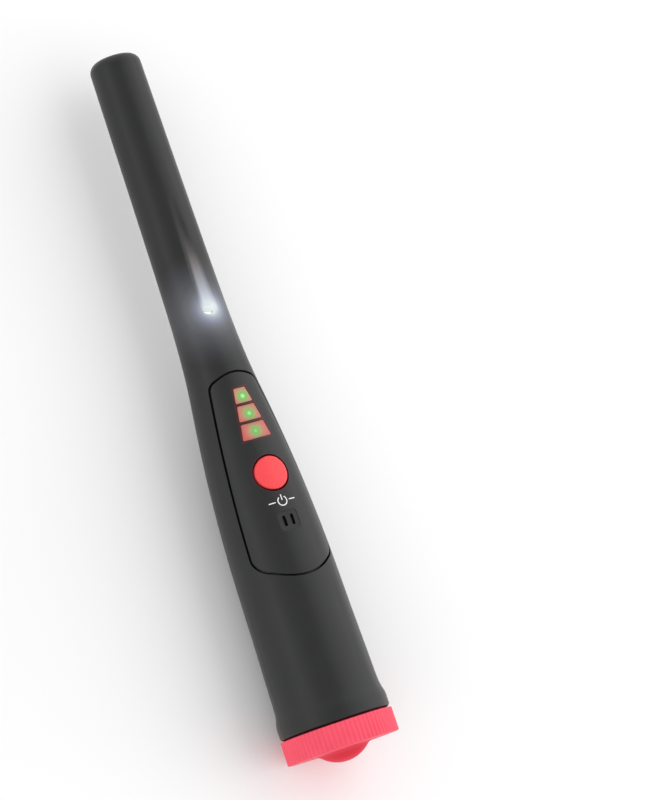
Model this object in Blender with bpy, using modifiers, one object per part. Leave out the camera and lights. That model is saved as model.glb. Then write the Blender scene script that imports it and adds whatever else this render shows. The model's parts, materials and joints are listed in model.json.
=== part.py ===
"""Pinpointer probe lying on its side: housing, control panel, torch, search coil, battery and screw cap."""

import math

import bmesh
import bpy

MM = 0.001

# Lengths are in millimetres on the probe's own axes: x across the control panel,
# y out of the panel's face, z (height) from the battery cap's end face to the tip.
CAP_RADIUS = 19.0
CAP_HEIGHT = 8.0
CAP_RIBS = 76
RIB_DEPTH = 0.4
CAP_FLOOR = 2.5
FIN_REACH = 4.2
FIN_RADIUS = 11.4
FIN_THICKNESS = 4.4
FIN_TURN = 22.0

MOUTH_HEIGHT = 8.3
COLLAR_RADIUS = 18.7
TIP_HEIGHT = 241.6
TIP_FLAT_RADIUS = 5.4
TIP_ROUND_START = 238.2
BODY_STATIONS = (
    (17.4, 17.72),
    (43.0, 17.08),
    (64.0, 16.66),
    (80.0, 15.95),
    (95.6, 14.83),
    (111.5, 13.2),
    (127.5, 11.28),
    (138.0, 10.44),
    (152.0, 9.85),
    (181.0, 9.38),
    (TIP_ROUND_START, 8.75),
)

BATTERY_BORE = 15.45
BATTERY_BORE_TOP = 55.0
TIP_BORE = 6.9
TIP_BORE_TOP = 239.0
PANEL_WALL = 3.6

THREAD_PITCH = 2.5
THREAD_BORE = 17.0
THREAD_BORE_TOP = 15.0
SEAL_BORE = 17.45
SEAL_BORE_TOP = 9.8
PLUG_RADIUS = 16.0
PLUG_INNER = 15.25
PLUG_TOP = 13.9
PLUG_RIDGE = 16.7
MOUTH_RIDGE = 16.3

PANEL_TOP = 127.2
PANEL_BOTTOM = 56.6
PANEL_TOP_CORNER = (5.2, 122.3, 3.6)
PANEL_BOTTOM_CORNER = (7.5, 66.0, 6.75)
PANEL_SIDE_BOW = 0.9
PANEL_THICKNESS = 1.4
SEAM = 0.65
POCKET_DEPTH = 2.3
LEDGE = 2.6

WINDOW_HEIGHTS = ((116.15, 121.5), (109.95, 115.4), (103.6, 109.2))
WINDOW_TOP = 121.0
WINDOW_TOP_HALF_WIDTH = 2.3
WINDOW_FLARE = 0.166
LED_HEIGHTS = (118.5, 112.4, 106.2)

BUTTON_HEIGHT = 91.3
BUTTON_RADIUS = 5.65
BUTTON_PROUD = 0.6
BUTTON_BASE = 11.2
BUTTON_TRAVEL = 0.7
PLUNGER_BASE = 6.6

SLOT_HEIGHT = 74.8
SLOT_SPACING = 2.9
SLOT_SIZE = (1.1, 3.6)

TORCH_HEIGHT = 150.4
TORCH_TILT = 40.0
TORCH_Y = 8.7
SCOOP_RADIUS = 2.6
SCOOP_LOW = 149.0
SCOOP_HIGH = 186.0
SCOOP_LOW_AXIS = 10.35
SCOOP_HIGH_AXIS = 12.05

BOARD_BOTTOM = 2.7
BOARD_TOP = 4.3
BOARD_OUTLINE = ((11.6, 64.5), (11.1, 80.0), (9.9, 95.0), (8.1, 111.0), (5.8, 127.0), (4.9, 137.5))
CARRIER_BOTTOM = 0.9
CARRIER_TOP = 2.4

BATTERY_SIZE = (26.5, 17.5, 46.5)
BATTERY_BASE = 4.1
BATTERY_CORNER = 2.5
SNAP_OFFSET = 6.35

MOTOR_Y = -4.4
MOTOR_RADIUS = 3.0

CORE_RADIUS = 4.0
CORE_LOW = 171.5
CORE_HIGH = 237.0

ROUND_STEPS = 40
MERGE = 0.000005

PLASTIC_BLACK = (0.028, 0.029, 0.030)
SIGNAL_RED = (0.90, 0.07, 0.10)
COPPER = (0.72, 0.31, 0.14)
STEEL = (0.55, 0.55, 0.56)


def clear_scene():
    for obj in list(bpy.data.objects):
        bpy.data.objects.remove(obj, do_unlink=True)


def add_collection(name):
    collection = bpy.data.collections.new(name)
    bpy.context.scene.collection.children.link(collection)
    return collection


def add_frame():
    """The empty that lays the probe down: tip towards +X, panel face up, its length centred on the origin."""
    frame = bpy.data.objects.new("probe_frame", None)
    frame.rotation_euler = (math.radians(90.0), 0.0, math.radians(90.0))
    middle = (TIP_HEIGHT - FIN_REACH) / 2.0
    frame.location = (-middle * MM, 0.0, CAP_RADIUS * MM)
    bpy.context.scene.collection.objects.link(frame)
    return frame


def place(obj, location=(0.0, 0.0, 0.0), turn=(0.0, 0.0, 0.0)):
    """Puts an object at a place in the probe's own axes."""
    obj.parent = bpy.data.objects["probe_frame"]
    obj.location = [value * MM for value in location]
    obj.rotation_euler = [math.radians(value) for value in turn]
    return obj


def as_part(obj, color, roughness=0.5, metallic=0.0, alpha=1.0):
    """Makes an object one of the probe's pieces, with its own material."""
    material = bpy.data.materials.new(obj.name)
    material.use_nodes = True
    shader = material.node_tree.nodes["Principled BSDF"]
    shader.inputs["Base Color"].default_value = (*color, 1.0)
    shader.inputs["Roughness"].default_value = roughness
    shader.inputs["Metallic"].default_value = metallic
    shader.inputs["Alpha"].default_value = alpha
    obj.data.materials.append(material)
    bpy.data.collections["pinpointer_probe"].objects.link(obj)
    return obj


def as_cutter(obj):
    """Makes an object a hidden tool for a Boolean."""
    obj.hide_render = True
    obj.display_type = "WIRE"
    bpy.data.collections["cutters"].objects.link(obj)
    return obj


def combine(obj, other, operation):
    modifier = obj.modifiers.new(other.name, "BOOLEAN")
    modifier.operation = operation
    modifier.object = other


def cut(obj, other):
    combine(obj, other, "DIFFERENCE")


def join(obj, other):
    combine(obj, other, "UNION")


def keep_inside(obj, other):
    combine(obj, other, "INTERSECT")


def turned(name, profile, closed=False, steps=ROUND_STEPS):
    """Turns (radius, height) points about z; the points run down the outer side."""
    mesh = bpy.data.meshes.new(name)
    points = [(radius * MM, 0.0, height * MM) for radius, height in profile]
    edges = [(index, index + 1) for index in range(len(points) - 1)]
    if closed:
        edges.append((len(points) - 1, 0))
    mesh.from_pydata(points, edges, [])
    obj = bpy.data.objects.new(name, mesh)
    screw = obj.modifiers.new("turn", "SCREW")
    screw.axis = "Z"
    screw.angle = 2.0 * math.pi
    screw.steps = steps
    screw.render_steps = steps
    screw.use_merge_vertices = True
    screw.merge_threshold = MERGE
    screw.use_smooth_shade = True
    return obj


def tube(name, outer, inner, low, high, steps=ROUND_STEPS):
    return turned(name, [(outer, high), (outer, low), (inner, low), (inner, high)], True, steps)


def mesh_object(name, builder):
    """An object whose mesh a function fills in."""
    mesh = bpy.data.meshes.new(name)
    shape = bmesh.new()
    builder(shape)
    shape.to_mesh(mesh)
    shape.free()
    return bpy.data.objects.new(name, mesh)


def rod(name, radius, length, steps=24):
    """A cylinder along z, centred on its origin."""

    def build(shape):
        bmesh.ops.create_cone(
            shape,
            cap_ends=True,
            segments=steps,
            radius1=radius * MM,
            radius2=radius * MM,
            depth=length * MM,
        )

    obj = mesh_object(name, build)
    obj.data.shade_smooth()
    obj.data.set_sharp_from_angle(angle=math.radians(40.0))
    return obj


def block(name, size):
    """A box centred on its origin."""

    def build(shape):
        bmesh.ops.create_cube(shape, size=1.0)
        bmesh.ops.scale(shape, vec=[value * MM for value in size], verts=shape.verts)

    return mesh_object(name, build)


def plate(name, outline, thickness):
    """A flat outline in x and y, thick along z, as one closed mesh."""
    curve = bpy.data.curves.new(name + "_outline", "CURVE")
    curve.dimensions = "2D"
    curve.fill_mode = "BOTH"
    curve.extrude = thickness / 2.0 * MM
    spline = curve.splines.new("POLY")
    spline.points.add(len(outline) - 1)
    for point, (x, y) in zip(spline.points, outline):
        point.co = (x * MM, y * MM, 0.0, 1.0)
    spline.use_cyclic_u = True
    source = bpy.data.objects.new(name + "_outline", curve)
    bpy.context.scene.collection.objects.link(source)
    graph = bpy.context.evaluated_depsgraph_get()
    mesh = bpy.data.meshes.new_from_object(source.evaluated_get(graph))
    mesh.name = name
    bpy.data.objects.remove(source)
    shape = bmesh.new()
    shape.from_mesh(mesh)
    bmesh.ops.remove_doubles(shape, verts=shape.verts, dist=MERGE)
    bmesh.ops.recalc_face_normals(shape, faces=shape.faces)
    shape.to_mesh(mesh)
    shape.free()
    return bpy.data.objects.new(name, mesh)


def wire(name, route, radius, color):
    """A lead along a smooth curve through the route's points."""
    curve = bpy.data.curves.new(name, "CURVE")
    curve.dimensions = "3D"
    curve.bevel_depth = radius * MM
    curve.bevel_resolution = 2
    curve.use_fill_caps = True
    points = smooth_route(route)
    spline = curve.splines.new("POLY")
    spline.points.add(len(points) - 1)
    for point, place_on_route in zip(spline.points, points):
        point.co = (*[value * MM for value in place_on_route], 1.0)
    obj = place(bpy.data.objects.new(name, curve))
    return as_part(obj, color, 0.45)


def smooth_route(route, steps=3):
    """Catmull-Rom points through a route."""
    ends = [route[0]] + list(route) + [route[-1]]
    points = []
    for a, b, c, d in zip(ends, ends[1:], ends[2:], ends[3:]):
        for step in range(steps):
            t = step / steps
            points.append(tuple(catmull_rom(values, t) for values in zip(a, b, c, d)))
    points.append(tuple(route[-1]))
    return points


def catmull_rom(values, t):
    a, b, c, d = values
    return 0.5 * (
        2.0 * b + (c - a) * t + (2.0 * a - 5.0 * b + 4.0 * c - d) * t**2 + (3.0 * b - a - 3.0 * c + d) * t**3
    )


def arc(center, radius, start, end, steps):
    """Points on a circle from one angle to another, in degrees."""
    angles = [math.radians(start + (end - start) * step / steps) for step in range(steps + 1)]
    return [(center[0] + radius * math.cos(a), center[1] + radius * math.sin(a)) for a in angles]


def body_radius(height):
    """Radius of the housing's outer face, smooth through its stations."""
    stations = BODY_STATIONS
    height = min(max(height, stations[0][0]), stations[-1][0])
    index = max(i for i in range(len(stations) - 1) if stations[i][0] <= height)
    low, high = stations[index], stations[index + 1]
    span = high[0] - low[0]
    t = (height - low[0]) / span
    start = station_slope(index) * span
    end = station_slope(index + 1) * span
    return (
        (2 * t**3 - 3 * t**2 + 1) * low[1]
        + (t**3 - 2 * t**2 + t) * start
        + (3 * t**2 - 2 * t**3) * high[1]
        + (t**3 - t**2) * end
    )


def station_slope(index):
    before = BODY_STATIONS[max(index - 1, 0)]
    after = BODY_STATIONS[min(index + 1, len(BODY_STATIONS) - 1)]
    return (after[1] - before[1]) / (after[0] - before[0])


def levels(low, high, spacing=8.0):
    count = max(1, round((high - low) / spacing))
    return [low + (high - low) * step / count for step in range(count + 1)]


def skin(name, outer, inner, low, high):
    """A tube that follows the housing's face, between two offsets from it."""
    heights = levels(low, high)
    down = [(body_radius(height) + outer, height) for height in reversed(heights)]
    up = [(body_radius(height) + inner, height) for height in heights]
    return as_cutter(place(turned(name, down + up, True)))


def panel_outline(inset):
    """The panel's outline, moved inwards; x across, y up the probe."""
    top_x, top_z, top_round = PANEL_TOP_CORNER
    low_x, low_z, low_round = PANEL_BOTTOM_CORNER
    top_corner = arc((top_x, top_z), top_round - inset, 76.0, 6.0, 4)
    low_corner = arc((low_x, low_z), low_round - inset, 2.0, -66.0, 6)
    top_edge = bowed_edge(PANEL_TOP - inset, top_corner[0])
    low_edge = bowed_edge(PANEL_BOTTOM + inset, low_corner[-1])
    side = []
    for step in range(1, 6):
        t = step / 6
        bow = 4.0 * PANEL_SIDE_BOW * t * (1.0 - t)
        x = top_corner[-1][0] * (1.0 - t) + low_corner[0][0] * t + bow
        side.append((x, top_corner[-1][1] * (1.0 - t) + low_corner[0][1] * t))
    half = top_edge + top_corner + side + low_corner + low_edge[::-1]
    return half + [(-x, y) for x, y in reversed(half) if x > MERGE]


def bowed_edge(apex, corner):
    """Points from the panel's centre line to a corner, on a shallow curve."""
    points = []
    for step in range(3):
        t = step / 3
        points.append((corner[0] * t, apex + (corner[1] - apex) * t * t))
    return points


def face_prism(name, outline, low, high):
    """An outline seen from the panel's front, thick from y = low to y = high."""
    obj = plate(name, outline, high - low)
    return place(obj, (0.0, (low + high) / 2.0, 0.0), (90.0, 0.0, 0.0))


def face_rod(name, radius, x, height, low, high, steps=24):
    """A cylinder that points out of the panel's face."""
    obj = rod(name, radius, high - low, steps)
    return place(obj, (x, (low + high) / 2.0, height), (-90.0, 0.0, 0.0))


def thread_ridge(name, root, crest, base, turns):
    """A helical ridge: a trapezoid carried up and round the axis."""
    steps = round(turns * ROUND_STEPS)
    rise = THREAD_PITCH * turns

    def build(shape):
        section = [(root, base - 0.5), (crest, base - 0.25), (crest, base + 0.25), (root, base + 0.5)]
        corners = [shape.verts.new((radius * MM, 0.0, height * MM)) for radius, height in section]
        face = shape.faces.new(corners)
        bmesh.ops.spin(
            shape,
            geom=[face] + list(face.edges) + corners,
            axis=(0.0, 0.0, 1.0),
            cent=(0.0, 0.0, 0.0),
            dvec=(0.0, 0.0, rise / steps * MM),
            angle=2.0 * math.pi * turns,
            steps=steps,
            use_duplicate=False,
        )
        bmesh.ops.recalc_face_normals(shape, faces=shape.faces)

    return as_cutter(place(mesh_object(name, build)))


def add_housing():
    tip = [(0.0, TIP_HEIGHT)]
    round_width = body_radius(TIP_ROUND_START) - TIP_FLAT_RADIUS
    for step in range(6):
        angle = math.pi / 2.0 * (1.0 - step / 5)
        rise = (TIP_HEIGHT - TIP_ROUND_START) * math.sin(angle)
        tip.append((TIP_FLAT_RADIUS + round_width * math.cos(angle), TIP_ROUND_START + rise))
    body = [(body_radius(height), height) for height in reversed(levels(17.4, TIP_ROUND_START, 10.0))][1:]
    collar = [(18.05, 15.1), (18.5, 13.7), (COLLAR_RADIUS, 12.4), (COLLAR_RADIUS, 10.0), (18.4, 8.8)]
    mouth = [
        (17.9, MOUTH_HEIGHT),
        (SEAL_BORE, MOUTH_HEIGHT),
        (SEAL_BORE, SEAL_BORE_TOP),
        (THREAD_BORE, SEAL_BORE_TOP),
        (THREAD_BORE, THREAD_BORE_TOP),
        (BATTERY_BORE, THREAD_BORE_TOP + 1.2),
        (BATTERY_BORE, BATTERY_BORE_TOP),
    ]
    inside = [
        (max(body_radius(height) - PANEL_WALL, TIP_BORE), height)
        for height in levels(BATTERY_BORE_TOP, 145.0, 11.0)
    ]
    end = [(TIP_BORE, TIP_BORE_TOP - 1.5), (TIP_BORE - 1.5, TIP_BORE_TOP), (0.0, TIP_BORE_TOP)]
    housing = place(turned("housing", tip + body + collar + mouth + inside + end))

    pocket = as_cutter(face_prism("pocket_cutter", panel_outline(-SEAM / 2.0), 3.0, 20.0))
    keep = place(turned("pocket_core", pocket_core_profile()))
    cut(pocket, as_cutter(keep))
    cut(housing, pocket)
    cut(housing, as_cutter(face_prism("opening_cutter", panel_outline(LEDGE), 3.0, 20.0)))
    cut(housing, scoop_cutter())
    cut(housing, torch_rod("torch_hole_cutter", 1.8, -6.5, 3.0))
    join(housing, thread_ridge("mouth_thread", THREAD_BORE + 0.3, MOUTH_RIDGE, 11.65, 1.0))
    as_part(housing, PLASTIC_BLACK, 0.42)


def pocket_core_profile():
    """The part of the housing that stays under the panel's pocket."""
    heights = levels(50.0, 134.0)
    side = [(body_radius(height) - POCKET_DEPTH, height) for height in reversed(heights)]
    return [(0.0, heights[-1])] + side + [(0.0, heights[0])]


def scoop_cutter():
    """A rod laid at a slant in the face ahead of the torch, deepest at the torch."""
    rise = SCOOP_HIGH_AXIS - SCOOP_LOW_AXIS
    run = SCOOP_HIGH - SCOOP_LOW
    slope = math.degrees(math.atan2(rise, run))
    obj = rod("scoop_cutter", SCOOP_RADIUS, math.hypot(rise, run), 32)
    middle = (0.0, (SCOOP_LOW_AXIS + SCOOP_HIGH_AXIS) / 2.0, (SCOOP_LOW + SCOOP_HIGH) / 2.0)
    return as_cutter(place(obj, middle, (-slope, 0.0, 0.0)))


def torch_rod(name, radius, start, end, steps=24):
    """A rod on the torch's slanted axis, from start to end along it."""
    obj = rod(name, radius, end - start, steps)
    return as_cutter(place(obj, torch_point((start + end) / 2.0), (-TORCH_TILT, 0.0, 0.0)))


def torch_point(along):
    """A point on the torch's axis, which leans out of the face towards the tip."""
    tilt = math.radians(TORCH_TILT)
    return (0.0, TORCH_Y + along * math.sin(tilt), TORCH_HEIGHT + along * math.cos(tilt))


def add_panel():
    panel = face_prism("control_panel", panel_outline(SEAM / 2.0), 4.0, 19.0)
    keep_inside(panel, skin("panel_skin", 0.0, -PANEL_THICKNESS, 48.0, 136.0))
    for number, (low, high) in enumerate(WINDOW_HEIGHTS, 1):
        opening = face_prism(f"window_cutter_{number}", window_outline(low, high, 0.0), 6.0, 18.0)
        cut(panel, as_cutter(opening))
    cut(panel, as_cutter(face_rod("button_cutter", BUTTON_RADIUS + 0.35, 0.0, BUTTON_HEIGHT, 8.0, 19.0, 36)))
    for side in (-1, 1):
        slot = block(f"slot_cutter_{side + 1}", (SLOT_SIZE[0], 8.0, SLOT_SIZE[1]))
        cut(panel, as_cutter(place(slot, (side * SLOT_SPACING / 2.0, 15.5, SLOT_HEIGHT))))
    as_part(panel, PLASTIC_BLACK, 0.38)

    gasket = face_prism("panel_gasket", panel_outline(SEAM / 2.0 + 0.1), 4.0, 19.0)
    keep_inside(gasket, skin("gasket_skin", -PANEL_THICKNESS - 0.25, -POCKET_DEPTH + 0.25, 48.0, 136.0))
    cut(gasket, as_cutter(face_prism("gasket_opening", panel_outline(LEDGE - 0.4), 3.0, 20.0)))
    as_part(gasket, (0.02, 0.02, 0.02), 0.8)


def window_outline(low, high, inset):
    """A window that widens towards the cap."""
    top = WINDOW_TOP_HALF_WIDTH + (WINDOW_TOP - high) * WINDOW_FLARE - inset
    bottom = WINDOW_TOP_HALF_WIDTH + (WINDOW_TOP - low) * WINDOW_FLARE - inset
    return [(top, high - inset), (bottom, low + inset), (-bottom, low + inset), (-top, high - inset)]


def add_signal_windows():
    window_skin = skin("window_skin", -0.15, -PANEL_THICKNESS + 0.1, 98.0, 126.0)
    for number, (low, high) in enumerate(WINDOW_HEIGHTS, 1):
        window = face_prism(f"signal_window_{number}", window_outline(low, high, 0.25), 6.0, 18.0)
        keep_inside(window, window_skin)
        as_part(window, (0.62, 0.20, 0.14), 0.3, alpha=0.85)


def add_signal_leds():
    for number, height in enumerate(LED_HEIGHTS, 1):
        top = body_radius(height) - PANEL_THICKNESS - 0.5
        led = led_shape(f"signal_led_{number}")
        place(led, (0.0, top - 5.2, height), (-90.0, 0.0, 0.0))
        for side in (-1, 1):
            leg_name = f"signal_led_{number}_leg_{side + 1}"
            leg = face_rod(leg_name, 0.25, side * 0.7, height, BOARD_TOP + 0.2, top - 4.8, 8)
            join(led, as_cutter(leg))
        as_part(led, (0.25, 0.9, 0.25), 0.2, alpha=0.8)


def led_shape(name):
    """A round 3 mm light with its flange, standing on z."""
    dome = arc((0.0, 3.7), 1.5, 90.0, 0.0, 4)
    profile = [(max(radius, 0.0), height) for radius, height in dome]
    profile += [(1.5, 1.0), (1.9, 1.0), (1.9, 0.0), (0.0, 0.0)]
    return turned(name, profile, steps=20)


def add_power_button():
    button = face_rod("power_button", BUTTON_RADIUS, 0.0, BUTTON_HEIGHT, BUTTON_BASE, 18.0, 36)
    keep_inside(button, skin("button_skin", BUTTON_PROUD, -8.0, 82.0, 101.0))
    flange_top = BUTTON_BASE + 0.2
    join(button, as_cutter(face_rod("button_flange", 6.8, 0.0, BUTTON_HEIGHT, 10.4, flange_top, 36)))
    join(button, as_cutter(face_rod("button_stem", 1.6, 0.0, BUTTON_HEIGHT, 8.9, 10.8, 16)))
    as_part(button, SIGNAL_RED, 0.45)

    seal = turned("button_seal", [(6.9, 0.4), (6.9, 0.0), (5.95, 0.0), (5.95, 0.4)], True, 36)
    as_part(place(seal, (0.0, flange_top + 0.1, BUTTON_HEIGHT), (-90.0, 0.0, 0.0)), (0.02, 0.02, 0.02), 0.8)

    switch = place(block("tact_switch", (6.0, 3.4, 6.0)), (0.0, BOARD_TOP + 1.9, BUTTON_HEIGHT))
    bore_floor = PLUNGER_BASE - BUTTON_TRAVEL - 0.7
    cut(switch, as_cutter(face_rod("plunger_bore", 1.8, 0.0, BUTTON_HEIGHT, bore_floor, 9.0, 20)))
    as_part(switch, (0.03, 0.03, 0.03), 0.5)
    plunger = face_rod("switch_plunger", 1.5, 0.0, BUTTON_HEIGHT, PLUNGER_BASE, 8.7, 20)
    as_part(plunger, (0.6, 0.58, 0.5), 0.5)


def add_board():
    board = face_prism("circuit_board", board_outline(BOARD_OUTLINE), BOARD_BOTTOM, BOARD_TOP)
    carrier_stations = ((11.6, 58.8),) + BOARD_OUTLINE
    carrier = face_prism("board_carrier", board_outline(carrier_stations), CARRIER_BOTTOM, CARRIER_TOP)
    for number, (radius, height, thickness) in enumerate(((12.85, 58.7, 2.2), (7.9, 121.7, 1.8)), 1):
        rib = place(plate(f"carrier_rib_{number}", half_disc(radius), thickness), (0.0, 0.0, height))
        join(carrier, as_cutter(rib))
    lead_gap = as_cutter(place(block("lead_gap_cutter", (7.0, 4.0, 3.2)), (0.0, 1.7, 61.9)))
    cut(carrier, lead_gap)
    for side in (-1, 1):
        hole = as_cutter(face_rod(f"screw_cutter_{side + 1}", 1.15, side * 7.0, 99.0, 0.0, 6.0, 16))
        cut(board, hole)
        cut(carrier, hole)
    as_part(board, (0.02, 0.16, 0.07), 0.4)
    as_part(carrier, (0.05, 0.05, 0.055), 0.55)

    for number, side in ((1, -1), (2, 1)):
        head = [(0.0, 1.1), (1.3, 1.1), (1.8, 0.7), (1.8, 0.0), (0.85, 0.0), (0.85, -3.2), (0.0, -3.6)]
        screw = turned(f"board_screw_{number}", head, steps=16)
        place(screw, (side * 7.0, BOARD_TOP + 0.25, 99.0), (-90.0, 0.0, 0.0))
        as_part(screw, STEEL, 0.3, 1.0)

    chip = place(block("control_chip", (6.0, 1.3, 6.0)), (0.0, BOARD_TOP + 0.95, 127.5))
    as_part(chip, (0.02, 0.02, 0.022), 0.45)


def board_outline(stations):
    right = [(half_width, height) for half_width, height in stations]
    return right + [(-half_width, height) for half_width, height in reversed(stations)]


def half_disc(radius):
    """The lower part of a disc, cut off level with the carrier's top."""
    lift = math.degrees(math.asin(CARRIER_TOP / radius))
    return arc((0.0, 0.0), radius, 180.0 - lift, 360.0 + lift, 24)


def add_sounder():
    buzzer = [(0.0, 6.0), (5.4, 6.0), (6.0, 5.5), (6.0, 0.0), (0.0, 0.0)]
    sounder = turned("buzzer", buzzer, steps=28)
    place(sounder, (0.0, BOARD_TOP + 0.3, SLOT_HEIGHT), (-90.0, 0.0, 0.0))
    cut(sounder, as_cutter(face_rod("buzzer_hole", 1.1, 0.0, SLOT_HEIGHT, 8.0, 12.0, 16)))
    as_part(sounder, (0.03, 0.03, 0.03), 0.5)
    membrane = face_rod("sound_mesh", 4.3, 0.0, SLOT_HEIGHT, 13.5, 13.9, 28)
    as_part(membrane, (0.12, 0.12, 0.12), 0.8)


def add_vibration_motor():
    motor = place(rod("vibration_motor", MOTOR_RADIUS, 14.0, 24), (0.0, MOTOR_Y, 73.0))
    cut(motor, as_cutter(place(rod("shaft_bore", 0.75, 8.0, 12), (0.0, MOTOR_Y, 80.0))))
    as_part(motor, STEEL, 0.3, 1.0)
    shaft = place(rod("motor_shaft", 0.4, 9.6, 10), (0.0, MOTOR_Y, 81.8))
    as_part(shaft, STEEL, 0.25, 1.0)
    outline = arc((0.0, 0.0), 2.6, 180.0, 360.0, 14) + arc((0.0, 0.0), 1.3, 0.0, 180.0, 8)
    weight = place(plate("motor_weight", outline, 3.8), (0.0, MOTOR_Y, 84.4))
    cut(weight, as_cutter(place(rod("weight_bore", 0.7, 6.0, 12), (0.0, MOTOR_Y, 84.4))))
    as_part(weight, (0.42, 0.42, 0.42), 0.4, 1.0)
    clip = place(tube("motor_clip", 3.9, 3.3, -3.0, 3.0, 24), (0.0, MOTOR_Y, 73.0))
    pad = as_cutter(place(block("clip_pad", (5.0, 1.3, 6.0)), (0.0, -0.05, 73.0)))
    join(clip, pad)
    as_part(clip, (0.05, 0.05, 0.055), 0.55)
    for number, side in ((1, -1), (2, 1)):
        x = side * 1.3
        route = ((x, MOTOR_Y, 65.4), (x, MOTOR_Y + 0.5, 63.6), (x, -1.2, 62.1), (x, 2.2, 61.8))
        route += ((x, 4.4, 62.4), (x, 5.0, 64.4), (x, 4.95, 66.6))
        color = (0.05, 0.12, 0.5) if side < 0 else (0.6, 0.03, 0.03)
        wire(f"motor_lead_{number}", route, 0.35, color)


def add_torch():
    led = led_shape("torch_led")
    place(led, torch_point(-6.6), (-TORCH_TILT, 0.0, 0.0))
    as_part(led, (0.9, 0.92, 0.95), 0.15, alpha=0.7)
    edge = [(0.0, 1.0), (1.2, 1.0), (1.5, 0.8), (1.5, 0.0), (0.0, 0.0)]
    lens = turned("torch_lens", edge, steps=24)
    place(lens, torch_point(-1.1), (-TORCH_TILT, 0.0, 0.0))
    as_part(lens, (0.9, 0.95, 1.0), 0.05, alpha=0.4)
    for number, side in ((1, -1), (2, 1)):
        start = torch_point(-7.0)
        route = ((side * 0.7, start[1], start[2]), (side * 0.9, 3.6, 143.2), (side * 1.2, 4.2, 140.0))
        route += ((side * 1.3, 4.95, 137.6), (side * 1.3, 4.95, 133.5))
        wire(f"torch_lead_{number}", route, 0.3, (0.7, 0.7, 0.72))


def add_search_coil():
    core = rod("ferrite_core", CORE_RADIUS, CORE_HIGH - CORE_LOW, 28)
    place(core, (0.0, 0.0, (CORE_LOW + CORE_HIGH) / 2.0))
    as_part(core, (0.06, 0.055, 0.055), 0.6)
    flanges = ((235.5, 233.9), (206.4, 204.6), (174.6, 173.0))
    outer = []
    for top, bottom in flanges:
        outer += [(4.9, top), (6.45, top), (6.45, bottom), (4.9, bottom)]
    bobbin = outer[1:-1] + [(CORE_RADIUS + 0.3, 173.0), (CORE_RADIUS + 0.3, 235.5)]
    as_part(place(turned("coil_bobbin", bobbin, True, 32)), (0.75, 0.72, 0.62), 0.5)
    coils = (("transmit_coil", 174.9, 204.3), ("receive_coil", 206.7, 233.6))
    for name, low, high in coils:
        as_part(place(tube(name, 6.3, 5.2, low, high, 32)), COPPER, 0.35, 1.0)
    for number, side in ((1, -1), (2, 1)):
        x = side * 2.6
        route = ((x, -1.0, 171.0), (x, -1.6, 166.0), (x, -1.4, 158.0), (x, -0.4, 150.5), (x, 1.8, 144.6))
        route += ((x, 4.2, 140.6), (x, 4.95, 137.8), (x, 4.95, 133.5))
        wire(f"coil_lead_{number}", route, 0.35, COPPER)


def add_battery():
    width, depth, length = BATTERY_SIZE
    middle = BATTERY_BASE + length / 2.0
    battery = place(plate("battery", rounded_box(width, depth, BATTERY_CORNER), length), (0.0, 0.0, middle))
    top = BATTERY_BASE + length
    for name, side, radius in (("snap_small", -1, 2.9), ("snap_large", 1, 4.0)):
        snap = rod(name, radius, 2.6, 20)
        join(battery, as_cutter(place(snap, (side * SNAP_OFFSET, 0.0, top + 0.7))))
    as_part(battery, (0.35, 0.36, 0.38), 0.35, 0.3)

    low = top + 0.3
    connector = plate("snap_connector", rounded_box(25.6, 15.6, 2.0), 3.6)
    place(connector, (0.0, 0.0, low + 1.8))
    for side in (-1, 1):
        recess = rod(f"snap_recess_{side + 1}", 4.3, 5.0, 20)
        cut(connector, as_cutter(place(recess, (side * SNAP_OFFSET, 0.0, low - 0.1))))
    as_part(connector, (0.03, 0.03, 0.03), 0.6)

    lead_start = low + 3.9 + 0.35
    leads = (("battery_lead_black", -4.6, (0.02, 0.02, 0.02)), ("battery_lead_red", 4.6, (0.7, 0.02, 0.02)))
    for name, x, color in leads:
        route = ((x, 1.5, lead_start), (x, 3.4, 57.0), (x, 4.9, 59.6), (x, 5.2, 62.0), (x, 5.15, 66.2))
        wire(name, route, 0.5, color)


def rounded_box(width, depth, corner):
    """An outline in x and y with round corners."""
    points = []
    for quarter, (sign_x, sign_y) in enumerate(((1, 1), (-1, 1), (-1, -1), (1, -1))):
        center = (sign_x * (width / 2.0 - corner), sign_y * (depth / 2.0 - corner))
        points += arc(center, corner, quarter * 90.0, quarter * 90.0 + 90.0, 4)
    return points


def add_battery_cap():
    cap = plate("battery_cap", ribbed_outline(), CAP_HEIGHT)
    place(cap, (0.0, 0.0, CAP_HEIGHT / 2.0))
    envelope = turned("cap_envelope", cap_envelope_profile(), steps=CAP_RIBS)
    keep_inside(cap, as_cutter(place(envelope)))
    plug = tube("cap_plug", PLUG_RADIUS, PLUG_INNER - 1.0, CAP_HEIGHT - 0.6, PLUG_TOP)
    join(cap, as_cutter(place(plug)))
    join(cap, thread_ridge("plug_thread", PLUG_RADIUS - 0.3, PLUG_RIDGE, 10.4, 0.9))
    hollow = rod("cap_hollow", PLUG_INNER, 15.0, ROUND_STEPS)
    cut(cap, as_cutter(place(hollow, (0.0, 0.0, CAP_FLOOR + 7.5))))
    join(cap, fin())
    as_part(cap, SIGNAL_RED, 0.4)

    ring = arc((16.8, 8.95), 0.5, 0.0, -320.0, 8)
    as_part(place(turned("cap_o_ring", ring, True)), (0.015, 0.015, 0.015), 0.6)
    pad = place(rod("cap_pad", 13.6, 1.0, 36), (0.0, 0.0, CAP_FLOOR + 0.8))
    as_part(pad, (0.08, 0.08, 0.085), 0.9)


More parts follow.
